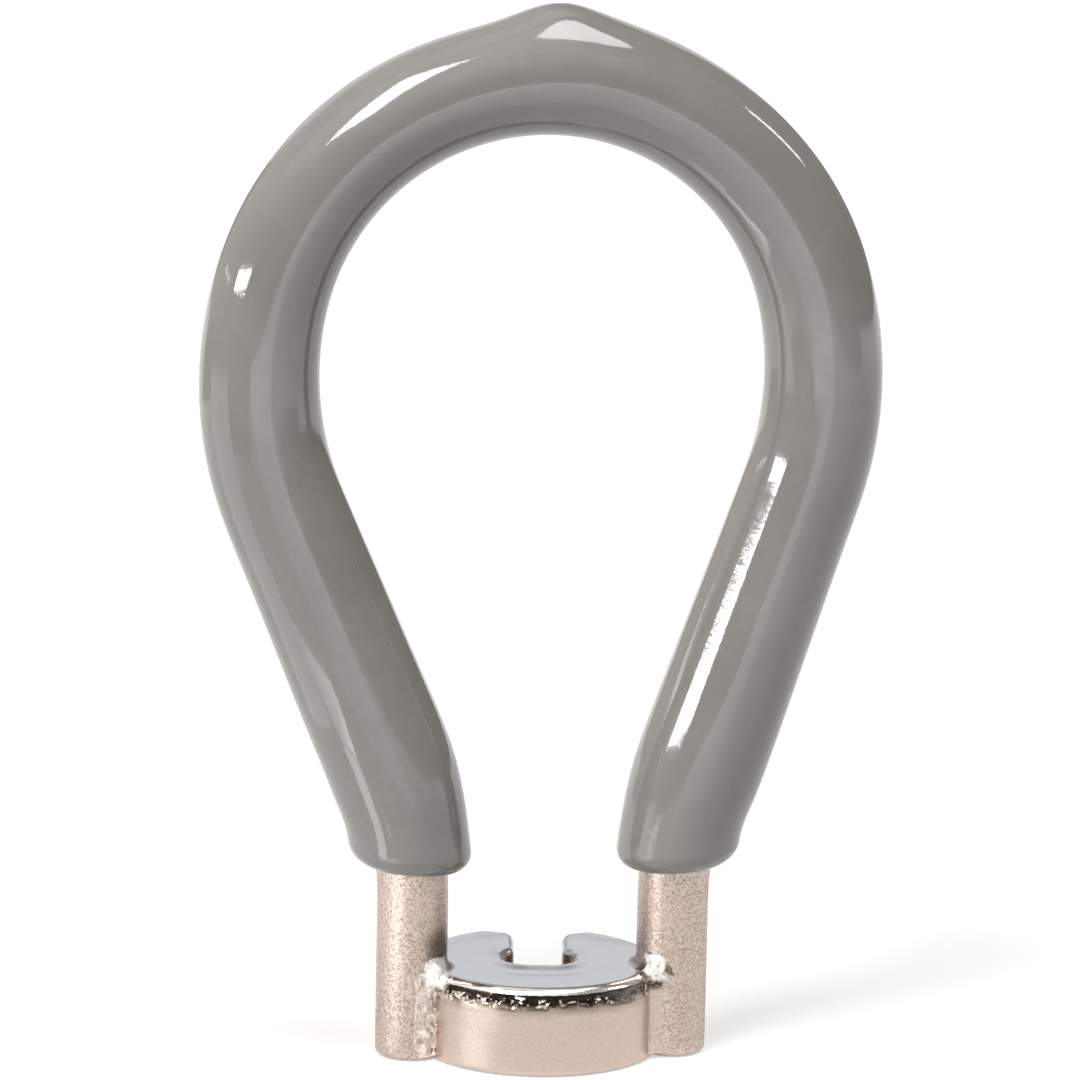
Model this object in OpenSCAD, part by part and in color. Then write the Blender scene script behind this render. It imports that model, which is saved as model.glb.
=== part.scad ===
// Loop-handled spoke wrench. A bent steel wire makes the handle, a soft dipped coat covers its
// loop, and its two bare legs are brazed into the rim of a short round head. The head has a
// square pocket for the flats of a spoke nipple and a slot that lets the spoke in from the back.
// Origin on the nipple axis at the head's flat underside. +X runs to the right leg, +Y to the
// mouth of the slot at the back, +Z up to the top of the loop. Millimetres and degrees.

/* [Head] */
// Diameter of the round head
head_d = 13.85; // [12:0.05:17]
// Thickness of the head from its underside to its top face
head_t = 5; // [4:0.05:6.5]
// Size across the flats of the nipple that the pocket takes
nipple_flats = 3.96; // [3.2:0.01:4.6]
// Play between the nipple's flats and the pocket's walls, over both sides
nipple_play = 0.05; // [0.02:0.01:0.15]
// Radius of the pocket's four upright corners
pocket_corner_r = 0.5; // [0.3:0.05:0.8]
// Radius of the rolled edge round the mouth of the pocket and slot in the top face
mouth_roll_r = 0.8; // [0.3:0.05:1]
// Width of the slot that the spoke passes through
slot_w = 2.75; // [2.2:0.05:3]
// Radius, seen from above, of the two horn corners at the slot's mouth
horn_corner_r = 0.9; // [0.4:0.05:1.2]
// Radius of the rim between the top face and the side
rim_top_r = 0.45; // [0.2:0.05:0.8]
// Radius of the edge between the underside and the side
rim_low_r = 0.3; // [0.1:0.05:0.6]
// Turn of the slot about the nipple axis, away from square to the legs
head_turn = 6.5; // [0:0.5:10]

/* [Handle wire] */
// Diameter of the wire
wire_d = 3.97; // [3.2:0.01:4.8]
// Depth by which each leg is let into the rim of the head
leg_bite = 1.43; // [1.1:0.01:1.7]
// Distance of the legs' plane in front of the nipple axis
leg_forward = 1.5; // [0.5:0.05:2.5]
// Radius of the rounded edge at the foot of each leg
leg_end_r = 0.4; // [0.2:0.05:0.8]
// Length of each straight leg, from its foot to the lower bend
leg_straight = 8.85; // [8:0.05:14]
// Radius of the lower bends, on the wire's centre line
bend_r = 22.6; // [18:0.1:28]
// Length of the straight run between the lower bend and the loop, on the right side
run_right = 17; // [13:0.1:22]
// Radius of the loop's two side arcs, on the wire's centre line
side_arc_r = 19.1; // [16:0.1:23]
// Radius of the loop's top arc, on the wire's centre line
top_arc_r = 15.45; // [13:0.05:18]
// Half of the angle that the top arc covers
top_arc_half = 75; // [60:1:80]
// Sideways set of the loop from the middle of the two legs
loop_shift = -0.6; // [-1:0.05:1]

/* [Dipped grip] */
// Thickness of the coat round the loop
coat_wall = 1.22; // [0.8:0.02:1.8]
// Thickness of the coat at its two ends, where it ran down and gathered
coat_end_wall = 1.5; // [1.2:0.02:2.1]
// Gap between the coat and the wire
coat_fit = 0.02; // [0.01:0.01:0.1]
// Part of each lower bend, from the leg up, that stays bare
bare_turn = 8.4; // [6:0.1:14]
// Radius of the rolled lip at each end of the coat
lip_r = 1.15; // [0.6:0.05:1.2]
// Height of the drip nib above the top of the coat
nib_h = 1; // [0.4:0.05:1.5]
// Radius of the drip nib's ridge
nib_r = 2; // [1.4:0.05:2.4]
// Slope of the ridge's two flanks
nib_slope = 20; // [14:1:26]
// Sideways place of the nib from the middle of the loop
nib_shift = 0.45; // [-1.5:0.05:1.5]

/* [Braze] */
// Width and height of the flared collar of braze round a leg, on the head's top face
flare = 0.7; // [0.4:0.05:0.95]
// Radius of the bead in each groove between a leg and the head's side
bead_r = 0.8; // [0.5:0.05:1]
// Distance of the bead's centre out of the groove
bead_out = 0.1; // [0:0.05:0.3]
// Height of the bead's lower end above the underside
bead_low = 0.4; // [0.2:0.05:1]
// Height of the bead's domed top above the head's top face, without the dome
bead_rise = 0.1; // [0:0.05:0.4]
// Thickness that the collar's two thin edges are left with
flare_edge = 0.06; // [0.03:0.01:0.15]
// Gap left between a leg and its seat in the head
braze_gap = 0.02; // [0.01:0.01:0.08]

/* [Hidden] */
$fn = 96;

// How far a cut runs past what it cuts
overrun = 0.5;
// Where an arc of bar meets a straight or another arc, it is slimmer by the step all round and
// reaches into its neighbour, so that no two round faces are left just touching
joint_step = 0.01;
joint_reach = 0.1;
head_r = head_d/2;
wire_r = wire_d/2;
pocket_w = nipple_flats + nipple_play;
seat_r = wire_r + braze_gap;

// Reach of a leg's axis from the nipple axis, and its sideways part
leg_reach = head_r + wire_r - leg_bite;
leg_x = sqrt(pow(leg_reach, 2) - pow(leg_forward, 2));
leg_turn = asin(leg_forward/leg_reach);

// The wire's centre line on one side: leg, lower bend, straight run, side arc, top arc.
// The side arc's centre lies beyond the loop's middle line, which leads it into the top arc.
arc_step = top_arc_r - side_arc_r;
side_centre_u = arc_step*sin(top_arc_half);
radii = side_arc_r + bend_r;

// Distance of a leg's axis from the loop's middle line; side is 1 on the right, -1 on the left
function leg_u(side) = leg_x - side*loop_shift;
// Sideways distance from the side arc's centre to the lower bend's centre
function reach_u(side) = leg_u(side) + bend_r - side_centre_u;
// Height from the lower bends' centres to the side arcs' centres, alike on both sides
centre_rise = sqrt(pow(run_right, 2) + pow(radii, 2) - pow(reach_u(1), 2));
// Length and slant of the straight run, tangent to both of its arcs
function run_length(side) = sqrt(pow(reach_u(side), 2) + pow(centre_rise, 2) - pow(radii, 2));
function slant(side) = atan2(centre_rise, reach_u(side)) - atan2(run_length(side), radii);

side_centre_z = leg_straight + centre_rise;
top_centre_z = side_centre_z - arc_step*cos(top_arc_half);
loop_top_z = top_centre_z + top_arc_r;

coat_d = wire_d + 2*coat_wall;
coat_end_d = wire_d + 2*coat_end_wall;
coat_top_z = loop_top_z + coat_d/2;
// The nib's ridge sinks into the coat over this length on each side of its tip
nib_flank = (nib_h + nib_r)/sin(nib_slope)/2;

// Where the circles of the head and a leg cross, along and across the line to the leg's axis
groove_along = (pow(leg_reach, 2) + pow(head_r, 2) - pow(wire_r, 2))/(2*leg_reach);
groove_across = sqrt(pow(head_r, 2) - pow(groove_along, 2));
// Way out of the groove: between the two circles' outward directions there
groove_dir = [groove_along/head_r + (groove_along - leg_reach)/wire_r,
    groove_across/head_r + groove_across/wire_r];
bead_at = [groove_along, groove_across] + bead_out*groove_dir/norm(groove_dir);

// Places children in the plane of the loop, with their X sideways and their Y up
module in_loop_plane() {
    translate([0, -leg_forward, 0]) rotate([90, 0, 0]) children();
}

// Children are drawn for the right side, from the loop's middle line
module on_side(side) {
    translate([loop_shift, 0, 0])
        if (side < 0) mirror([1, 0, 0]) children();
        else children();
}

// Arc of round bar about a centre in the loop's plane
module bar_arc(centre, r, from, to, d) {
    translate(centre) rotate([0, 0, from])
        rotate_extrude(angle = to - from) translate([r, 0]) circle(d = d);
}

// The same between two neighbours that it reaches into
module joining_arc(centre, r, from, to, d) {
    tuck = asin(joint_reach/r);
    bar_arc(centre, r, from - tuck, to + tuck, d - 2*joint_step);
}

// Straight round bar in the loop's plane, tapered if its two diameters differ
module bar_run(start, direction, length, d_start, d_end) {
    translate(start) rotate([0, 0, direction]) rotate([0, 90, 0])
        cylinder(h = length, d1 = d_start, d2 = d_end);
}

// The arcs and run of one side, above a point of the lower bend; d_low is the bar's diameter
// on the bend, d_high its diameter on the loop
module side_bar(side, bend_from, d_low, d_high) {
    lean = slant(side);
    bend_centre = [leg_u(side) + bend_r, leg_straight];
    on_side(side) in_loop_plane() {
        joining_arc(bend_centre, bend_r, 180 - lean, 180 - bend_from, d_low);
        bar_run(bend_centre + bend_r*[-cos(lean), sin(lean)], 90 - lean,
            run_length(side), d_low, d_high);
        joining_arc([side_centre_u, side_centre_z], side_arc_r, -lean, 90 - top_arc_half, d_high);
    }
}

module top_bar(d) {
    translate([loop_shift, 0, 0]) in_loop_plane()
        bar_arc([0, top_centre_z], top_arc_r, 90 - top_arc_half, 90 + top_arc_half, d);
}

// Half outline of a round post with both of its edges rounded
module post_outline(r, h, low_r, top_r) {
    square([r - low_r, h/2]);
    translate([0, h/2]) square([r - top_r, h/2]);
    translate([0, low_r]) square([r, h - low_r - top_r]);
    translate([r - low_r, low_r]) circle(r = low_r);
    translate([r - top_r, h - top_r]) circle(r = top_r);
}

// Straight leg with a rounded foot
module leg(side) {
    translate([side*leg_x, -leg_forward, 0]) {
        rotate_extrude() {
            square([wire_r - leg_end_r, leg_end_r]);
            intersection() {
                translate([wire_r - leg_end_r, leg_end_r]) circle(r = leg_end_r);
                square([wire_r, leg_end_r]);
            }
        }
        translate([0, 0, leg_end_r]) cylinder(h = leg_straight - leg_end_r, r = wire_r);
    }
}

// Round seats for both legs, right through the head's rim
module leg_seats() {
    for (side = [-1, 1])
        translate([side*leg_x, -leg_forward, -overrun])
            cylinder(h = head_t + 2*overrun, r = seat_r);
}

module head_blank(r) {
    rotate_extrude() post_outline(r, head_t, rim_low_r, rim_top_r);
}

// Square pocket through the head, with rounded upright corners
module pocket() {
    flat = pocket_w - 2*pocket_corner_r;
    translate([0, 0, -overrun]) linear_extrude(height = head_t + 2*overrun) {
        square([pocket_w, flat], center = true);
        square([flat, pocket_w], center = true);
        for (x = [-1, 1], y = [-1, 1])
            translate([x, y]*flat/2) circle(r = pocket_corner_r);
    }
}

// Cross-section that a rolled edge takes off a square one, right of the wall at X zero
module roll_section() {
    difference() {
        translate([-overrun, -mouth_roll_r])
            square([mouth_roll_r + overrun, mouth_roll_r + overrun]);
        translate([mouth_roll_r, -mouth_roll_r]) circle(r = mouth_roll_r);
        translate([mouth_roll_r, -mouth_roll_r]) square(mouth_roll_r + 2*overrun);
    }
}

// Rolled edge round the pocket's mouth: a straight length on each wall, a turned one on each corner
module pocket_roll() {
    flat = pocket_w - 2*pocket_corner_r;
    for (quarter = [0 : 90 : 270])
        translate([0, 0, head_t]) rotate([0, 0, quarter]) {
            translate([pocket_w/2, flat/2, 0]) rotate([90, 0, 0])
                linear_extrude(height = flat) roll_section();
            translate([flat/2, flat/2, 0]) rotate_extrude(angle = 90)
                intersection() {
                    translate([pocket_corner_r, 0]) roll_section();
                    translate([0, -mouth_roll_r]) square(pocket_corner_r + mouth_roll_r + overrun);
                }
        }
}

// Slot from the pocket to the back of the head
module spoke_slot() {
    translate([-slot_w/2, 0, -overrun]) cube([slot_w, head_r + overrun, head_t + 2*overrun]);
}

// Rolled edge along both walls of the slot, from the pocket's corners to past the rim
module slot_roll() {
    flat = pocket_w - 2*pocket_corner_r;
    for (side = [0, 1])
        mirror([side, 0, 0]) translate([slot_w/2, head_r + overrun, head_t])
            rotate([90, 0, 0]) linear_extrude(height = head_r + overrun - flat/2) roll_section();
}

// What rounding a horn's corner takes off, on the side given by 1 or -1
module horn_corner(side) {
    centre_x = slot_w/2 + horn_corner_r;
    centre_y = sqrt(pow(head_r - horn_corner_r, 2) - pow(centre_x, 2));
    rim = [centre_x, centre_y]*(head_r + overrun)/(head_r - horn_corner_r);
    translate([0, 0, -overrun]) linear_extrude(height = head_t + 2*overrun)
        difference() {
            polygon([[side*centre_x, centre_y], [side*(slot_w/2 - overrun), centre_y],
                [side*(slot_w/2 - overrun), rim[1] + overrun], [side*rim[0], rim[1] + overrun],
                [side*rim[0], rim[1]]]);
            translate([side*centre_x, centre_y]) circle(r = horn_corner_r);
        }
}

module handle_wire() {
    color([0.80, 0.73, 0.66]) {
        for (side = [-1, 1]) {
            leg(side);
            side_bar(side, 0, wire_d, wire_d);
        }
        top_bar(wire_d);
    }
}

module nipple_head() {
    color([0.77, 0.77, 0.79])
        difference() {
            head_blank(head_r);
            leg_seats();
            rotate([0, 0, -head_turn]) {
                pocket();
                pocket_roll();
                spoke_slot();
                slot_roll();
                horn_corner(-1);
                horn_corner(1);
            }
        }
}

// Braze is drawn on the line from the nipple axis to the leg's axis, which lies along X here
module seat_of_leg() {
    translate([leg_reach, 0, -overrun]) cylinder(h = head_t + flare + 2*overrun, r = seat_r);
}

// Collar of braze that flares out from a leg onto the head's top face
module braze_collar() {
    difference() {
        intersection() {
            translate([leg_reach, 0, head_t]) rotate_extrude()
                difference() {
                    square([wire_r + flare, flare]);
                    translate([wire_r + flare, flare]) circle(r = flare - flare_edge);
                }
            cylinder(h = head_t + flare, r = head_r - rim_top_r);
        }
        seat_of_leg();
    }
}

// Bead of braze up the groove in front of a leg, -1, or behind it, 1, with a domed top
module braze_bead(across) {
    bead_h = head_t + bead_rise - bead_low;
    difference() {
        translate([bead_at[0], across*bead_at[1], bead_low]) rotate_extrude() {
            square([bead_r, bead_h]);
            translate([0, bead_h]) intersection() {
                circle(r = bead_r);
                square(bead_r);
            }
        }
        head_blank(head_r + braze_gap);
        seat_of_leg();
    }
}

module braze_at_leg() {
    rotate([0, 0, -leg_turn]) {
        braze_collar();
        braze_bead(-1);
        braze_bead(1);
    }
}

module braze(side) {
    color([0.86, 0.80, 0.73])
        if (side < 0) mirror([1, 0, 0]) braze_at_leg();
        else braze_at_leg();
}

module braze_left() {
    braze(-1);
}

module braze_right() {
    braze(1);
}

// Rolled end of the coat, on the tangent of the lower bend where the bare part begins
module coat_lip(side) {
    r = coat_end_d/2;
    on_side(side) in_loop_plane()
        translate([leg_u(side) + bend_r*(1 - cos(bare_turn)), leg_straight + bend_r*sin(bare_turn), 0])
            rotate([0, 0, -bare_turn]) rotate([90, 0, 0])
                rotate_extrude() {
                    square([r - lip_r, lip_r]);
                    intersection() {
                        translate([r - lip_r, 0]) circle(r = lip_r);
                        square([r, lip_r]);
                    }
                }
}

// Soft ridge that the last drip left at the top of the loop
module drip_nib() {
    tip = [loop_shift + nib_shift, coat_top_z + nib_h - nib_r];
    in_loop_plane() {
        translate(tip) sphere(r = nib_r);
        bar_run(tip, -nib_slope, nib_flank, 2*nib_r, 2*nib_r);
        bar_run(tip, 180 + nib_slope, nib_flank, 2*nib_r, 2*nib_r);
    }
}

module vinyl_grip() {
    color([0.55, 0.54, 0.51])
        difference() {
            union() {
                for (side = [-1, 1]) {
                    side_bar(side, bare_turn, coat_end_d, coat_d);
                    coat_lip(side);
                }
                top_bar(coat_d);
                drip_nib();
            }
            for (side = [-1, 1]) side_bar(side, 0, wire_d + 2*coat_fit, wire_d + 2*coat_fit);
            top_bar(wire_d + 2*coat_fit);
        }
}

handle_wire();
nipple_head();
braze_left();
braze_right();
vinyl_grip();
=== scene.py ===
import math

import bpy
import numpy as np
from mathutils import Matrix, Vector


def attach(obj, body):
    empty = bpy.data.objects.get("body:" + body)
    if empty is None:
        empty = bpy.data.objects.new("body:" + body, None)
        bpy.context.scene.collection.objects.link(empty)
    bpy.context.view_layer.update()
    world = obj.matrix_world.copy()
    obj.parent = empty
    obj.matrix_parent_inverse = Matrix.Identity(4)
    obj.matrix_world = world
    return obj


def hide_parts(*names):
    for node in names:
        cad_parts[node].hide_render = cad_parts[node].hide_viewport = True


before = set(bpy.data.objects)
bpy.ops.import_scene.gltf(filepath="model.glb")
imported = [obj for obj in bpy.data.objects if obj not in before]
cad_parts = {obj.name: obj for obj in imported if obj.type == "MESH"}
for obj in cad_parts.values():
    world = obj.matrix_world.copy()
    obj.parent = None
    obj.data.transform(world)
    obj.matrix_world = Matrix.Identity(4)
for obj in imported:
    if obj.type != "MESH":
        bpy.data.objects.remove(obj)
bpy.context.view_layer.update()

# Lengths of the part are in millimetres, in its own frame, and become metres when a mesh is made.
MM = 0.001

# The head
HEAD_R = 13.85 / 2
HEAD_T = 5.0
HEAD_TURN = math.radians(6.5)   # the pocket and slot are turned clockwise, seen from above
POCKET_W = 3.96 + 0.05      # square pocket for the nipple
POCKET_CORNER = 0.5
SLOT_W = 2.75               # slot for the spoke
HORN_CORNER = 1.9           # corner, seen from above, where the slot leaves the rim
LEDGE_CORNER = 0.25         # and where it meets the pocket
MOUTH_FRONT = 1.6           # the mouth in the top face stands a little behind the pocket's front wall
MOUTH_CORNER = 1.25
MOUTH_ROLL = 0.5            # rolled edge along the slot, and a smaller one at the mouth's front
FRONT_ROLL = 0.3
RIM_TOP = 0.5               # the rim's upper edge in front and at the back, and its lower edge
RIM_BACK = 0.7
RIM_LOW = 0.3
LIP_RISE = 0.06             # raised lip round the mouth, higher at its corners
LIP_CORNERS = 0.04
DIP_DEPTH = 0.06            # worn ring in the top face, this far from the mouth and this wide
DIP_AT = 1.4
DIP_WIDE = 0.8
HORN_FALL = 0.10            # how far the horns fall off towards the back
TOP_WAVE = 0.012            # faint unevenness of the top face
TAPER = 0.16                # the side's lean below the rim, where it begins, and its soft start
TAPER_Z = 3.6
TAPER_EASE = 0.3
PITS_LOW = 3.68             # band of cast pits under the rim
PITS_TOP = 4.6

# The wire
WIRE_R = 3.97 / 2
WIRE_AROUND = 64            # points in a ring of its mesh
LEG_BITE = 1.43             # how far a leg is sunk into the head's rim
LEG_FORWARD = 1.5           # the legs stand this far in front of the nipple axis
LEG_REACH = HEAD_R + WIRE_R - LEG_BITE
LEG_X = math.sqrt(LEG_REACH ** 2 - LEG_FORWARD ** 2)
LEG_STRAIGHT = 8.85
FOOT_R = 0.4
BEND_R = 22.6
RUN_RIGHT = 17.0            # straight run of the right flank
SIDE_ARC_R = 19.1
TOP_ARC_R = 15.45
TOP_ARC_HALF = math.radians(75)
LOOP_SHIFT = -0.6           # the loop stands this far to one side
PATH_STEP = 0.25            # distance between points of the path, and over how far its joins are eased
PATH_EASE = 1.2
BOND_GAP = 0.02             # gap between parts that are bonded

# The braze
FILLET = 0.3                # width of the fillet along the legs and at the top face
FILLET_TOP = 0.7

# The vinyl coat, thin on the top of the loop and thick at its ends
COAT_HEIGHTS = (11.0, 12.5, 14.3, 16.0, 18.0, 20.0, 24.0, 28.0, 38.0, 54.7)
COAT_RADII = (3.27, 3.38, 3.52, 3.60, 3.60, 3.57, 3.49, 3.42, 3.31, 3.11)
COAT_EASE = 1.5             # the radius is averaged over this distance to either side
COAT_AROUND = 80            # points in a ring of its mesh
BORE_SPARSE = 4             # the bore has one ring for this many of the skin's
BARE_TURN = math.radians(8.0)   # part of the bend that is left bare
END_LEAN = math.radians(11.5)   # the coat's ends reach lower on the inner side
LIP_R = 1.3
CREASE_R = 0.16             # where the lip curls in to the wire
NIB_H = 0.78                # drip nib at the top
NIB_WIDE = 2.7
NIB_DEEP = 1.9
NIB_X = -0.15
SWELL_H = 0.32              # the drip gathered a little to the right of the nib
SWELL_X = 3.2
SWELL_WIDE = 5.0
SKIN_WAVE = 0.02            # faint unevenness of the dipped skin

# Colours that two materials share, and the middle of a dark spot on the left leg just above the braze
LEG_DARK, LEG_BRIGHT = (0.34, 0.27, 0.23), (0.65, 0.535, 0.465)
DARK_SPOT_AT = (-LEG_X + 1.4, -LEG_FORWARD - 1.4, HEAD_T + 1.5)

# The camera, in millimetres and degrees
TARGET = Vector((-0.593, -1.5, 29.206))
CAMERA_AZIMUTH = -7.280
CAMERA_ELEVATION = 10.890
CAMERA_ROLL = math.radians(1.181)
CAMERA_DISTANCE = 290.0
SENSOR = 36.0
FOCAL_PIXELS = 5260.2       # the lens in pixels of an image this wide
IMAGE_PIXELS = 1080

# The studio, in metres, and its heights in degrees above the table, seen from the wrench
WHITE = (1, 1, 1)
FLOOR_HALF = 3.0
LAMP_DISTANCE = 1.5
ROOM_R = 2.2
ROOM_COLOR = (1.0, 0.95, 0.90)
WALL_FOOT = -4
WALL_TOP = 57.5             # wall in front
LEFT_WALL_TOP = 34
STRIP_TOP = 8.7             # strip behind
CEILING_TOP = 88            # dark ceiling on the right
APRON_LIFT = 0.0003
APRON_LEVEL = 0.55
CARD_LIFT = 0.0004
CARDS = (                   # name, corners and the level at each corner
    ("card_near", ((-0.0185, -0.0065), (-0.0245, -0.0085), (-0.022, -0.0245), (-0.0115, -0.016)),
     (1.9, 1.9, 3.5, 1.9)),
    ("card_left", ((-0.025, -0.011), (-0.036, -0.016), (-0.031, -0.0235), (-0.0225, -0.0155)),
     (4.2, 4.2, 4.2, 4.2)),
    ("card_legs", ((-0.0365, -0.0165), (-0.053, -0.016), (-0.039, -0.040), (-0.0315, -0.024)),
     (2.4, 2.2, 5.0, 7.0)),
    ("card_front", ((-0.030, -0.055), (-0.15, -0.35), (0.09, -0.37), (0.018, -0.058)),
     (1.5, 2.4, 2.4, 1.5)),
    ("card_side", ((-0.039, 0.010), (-0.40, 0.120), (-0.36, -0.150), (-0.039, -0.013)),
     (2.0, 1.2, 1.2, 2.0)),
)


# Numbers in space
def smooth_step(x, low, high):
    """Goes smoothly from 0 to 1 while x goes from low to high."""
    t = np.clip((x - low) / (high - low), 0, 1)
    return t * t * (3 - 2 * t)


def lattice(ix, iy, iz, seed):
    """A fixed value from 0 to 1 for each point of a whole-number lattice."""
    h = (ix.astype(np.int64) * 374761393 + iy.astype(np.int64) * 668265263
         + iz.astype(np.int64) * 2147483647 + seed * 974634777) & 0xFFFFFFFF
    h = ((h ^ (h >> 13)) * 1274126177) & 0xFFFFFFFF
    return ((h ^ (h >> 16)) & 0xFFFF) / 65535.0


def value_noise(x, y, z, grain, seed):
    """Smooth noise from -1 to 1 whose lumps are about grain wide."""
    x, y, z = x / grain, y / grain, z / grain
    ix, iy, iz = np.floor(x), np.floor(y), np.floor(z)
    u, v, w = [t * t * (3 - 2 * t) for t in (x - ix, y - iy, z - iz)]
    total = 0
    for dx in (0, 1):
        for dy in (0, 1):
            for dz in (0, 1):
                weight = ((u if dx else 1 - u) * (v if dy else 1 - v) * (w if dz else 1 - w))
                total = total + weight * lattice(ix + dx, iy + dy, iz + dz, seed)
    return 2 * total - 1


# The path of the wire
def side_path(side):
    """Points (sideways from the loop's middle line, height) from a foot to the loop's top."""
    arc_step = TOP_ARC_R - SIDE_ARC_R
    centre_u = arc_step * math.sin(TOP_ARC_HALF)
    radii = SIDE_ARC_R + BEND_R
    leg_u = {s: LEG_X - s * LOOP_SHIFT for s in (1, -1)}
    reach = {s: leg_u[s] + BEND_R - centre_u for s in (1, -1)}
    rise = math.sqrt(RUN_RIGHT ** 2 + radii ** 2 - reach[1] ** 2)
    run = math.sqrt(reach[side] ** 2 + rise ** 2 - radii ** 2)
    slant = math.atan2(rise, reach[side]) - math.atan2(run, radii)
    centre_z = LEG_STRAIGHT + rise
    top_z = centre_z - arc_step * math.cos(TOP_ARC_HALF)

    def arc(cx, cz, r, start, end):
        count = max(2, int(abs(end - start) * r / PATH_STEP))
        a = np.linspace(start, end, count + 1)[1:]
        return np.c_[cx + r * np.cos(a), cz + r * np.sin(a)]

    def line(a, b):
        count = max(2, int(math.dist(a, b) / PATH_STEP))
        t = np.linspace(0, 1, count + 1)[1:, None]
        return np.array(a) * (1 - t) + np.array(b) * t

    foot = np.array([[leg_u[side], 0.0]])
    leg = line((leg_u[side], 0), (leg_u[side], LEG_STRAIGHT))
    bend = arc(leg_u[side] + BEND_R, LEG_STRAIGHT, BEND_R, math.pi, math.pi - slant)
    flank = line(bend[-1], bend[-1] + run * np.array([math.sin(slant), math.cos(slant)]))
    shoulder = arc(centre_u, centre_z, SIDE_ARC_R, -slant, math.pi / 2 - TOP_ARC_HALF)
    top = arc(0, top_z, TOP_ARC_R, math.pi / 2 - TOP_ARC_HALF, math.pi / 2)
    return np.vstack([foot, leg, bend, flank, shoulder, top])


def wire_path():
    """The whole middle line from the left foot over the top to the right foot: the distance along
    it, and (x, z) of its points, of its direction and of the direction out of the loop."""
    left, right = side_path(-1), side_path(1)
    points = np.vstack([np.c_[LOOP_SHIFT - left[:, 0], left[:, 1]],
                        np.c_[LOOP_SHIFT + right[:, 0], right[:, 1]][-2::-1]])
    length = np.r_[0, np.cumsum(np.linalg.norm(np.diff(points, axis=0), axis=1))]
    at = np.linspace(0, length[-1], int(length[-1] / PATH_STEP) + 1)
    points = np.c_[np.interp(at, length, points[:, 0]), np.interp(at, length, points[:, 1])]
    # A bent bar has no sudden change of curvature, so the joins of arcs and straights are eased
    reach = int(4 * PATH_EASE / PATH_STEP)
    kernel = np.exp(-0.5 * (np.arange(-reach, reach + 1) * PATH_STEP / PATH_EASE) ** 2)
    kernel /= kernel.sum()
    padded = np.pad(points, ((reach, reach), (0, 0)), mode="reflect", reflect_type="odd")
    eased = np.c_[np.convolve(padded[:, 0], kernel, "valid"),
                  np.convolve(padded[:, 1], kernel, "valid")]
    # Easing pulls an arc in a little, and a second pass gives that back
    padded = np.pad(points - eased, ((reach, reach), (0, 0)), mode="edge")
    eased += np.c_[np.convolve(padded[:, 0], kernel, "valid"),
                   np.convolve(padded[:, 1], kernel, "valid")]
    tangent = np.gradient(eased, axis=0)
    tangent /= np.linalg.norm(tangent, axis=1)[:, None]
    outward = np.c_[-tangent[:, 1], tangent[:, 0]]
    return at, eased, tangent, outward


# Making meshes
def make_piece(name, points, faces, material, replaces):
    """A smooth-shaded piece from points in millimetres, riding on the one body."""
    mesh = bpy.data.meshes.new(name)
    mesh.from_pydata((np.asarray(points) * MM).tolist(), [], faces)
    mesh.validate()
    mesh.polygons.foreach_set("use_smooth", [True] * len(mesh.polygons))
    mesh.update()
    piece = bpy.data.objects.new(name, mesh)
    bpy.context.scene.collection.objects.link(piece)
    piece.data.materials.append(material)
    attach(piece, "root")
    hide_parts(*replaces)
    return piece


def ring_faces(rings, around, closed):
    """Quads that join rings of the same count one after another."""
    faces = []
    last = rings if closed else rings - 1
    for i in range(last):
        a, b = i * around, ((i + 1) % rings) * around
        for j in range(around):
            k = (j + 1) % around
            faces.append((a + j, a + k, b + k, b + j))
    return faces


def surface_net(field, low, high, step):
    """Closed quad mesh of the surface where field(x, y, z) is zero and below zero inside."""
    axes = [np.arange(l, h + step, step) for l, h in zip(low, high)]
    grid = np.meshgrid(*axes, indexing="ij")
    f = field(*grid).astype(np.float32)
    n = np.array(f.shape) - 1
    corner = {c: f[c[0]:n[0] + c[0], c[1]:n[1] + c[1], c[2]:n[2] + c[2]]
              for c in np.ndindex(2, 2, 2)}
    inside = sum((v < 0).astype(np.int8) for v in corner.values())
    active = (inside > 0) & (inside < 8)
    cells = np.argwhere(active)
    index = -np.ones(active.shape, np.int64)
    index[active] = np.arange(len(cells))
    total, count = np.zeros((len(cells), 3)), np.zeros(len(cells))
    for axis in range(3):
        for c in corner:
            if c[axis]:
                continue
            d = tuple(1 if i == axis else v for i, v in enumerate(c))
            fa, fb = corner[c][active], corner[d][active]
            cross = (fa < 0) != (fb < 0)
            t = np.where(cross, fa / np.where(cross, fa - fb, 1), 0)
            p = np.tile(np.array(c, float), (len(cells), 1))
            p[:, axis] += t
            total[cross] += p[cross]
            count[cross] += 1
    points = np.array(low) + (cells + total / count[:, None]) * step
    quads = []
    for axis in range(3):
        u, v = [(1, 2), (2, 0), (0, 1)][axis]
        one = np.eye(3, dtype=int)
        a = f < 0
        shifted = np.moveaxis(a, axis, 0)
        change = np.moveaxis(shifted[1:] != shifted[:-1], 0, axis)
        edges = np.argwhere(change)
        keep = (edges[:, u] > 0) & (edges[:, v] > 0) & (edges[:, u] < n[u]) & (edges[:, v] < n[v])
        edges = edges[keep]
        ring = [edges - one[u] - one[v], edges - one[v], edges, edges - one[u]]
        quad = np.stack([index[tuple(r.T)] for r in ring], axis=1)
        flip = ~a[tuple(edges.T)]
        quad[flip] = quad[flip][:, ::-1]
        quads.append(quad)
    quads = np.vstack(quads)
    for _ in range(3):
        points = onto_surface(field, points, step)
    return points, quads.tolist()


def slope(field, points, step=0.01):
    """Gradient of a field."""
    parts = []
    for axis in range(3):
        d = np.zeros(3)
        d[axis] = step
        parts.append(field(*(points + d).T) - field(*(points - d).T))
    return np.stack(parts, axis=1) / (2 * step)


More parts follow.
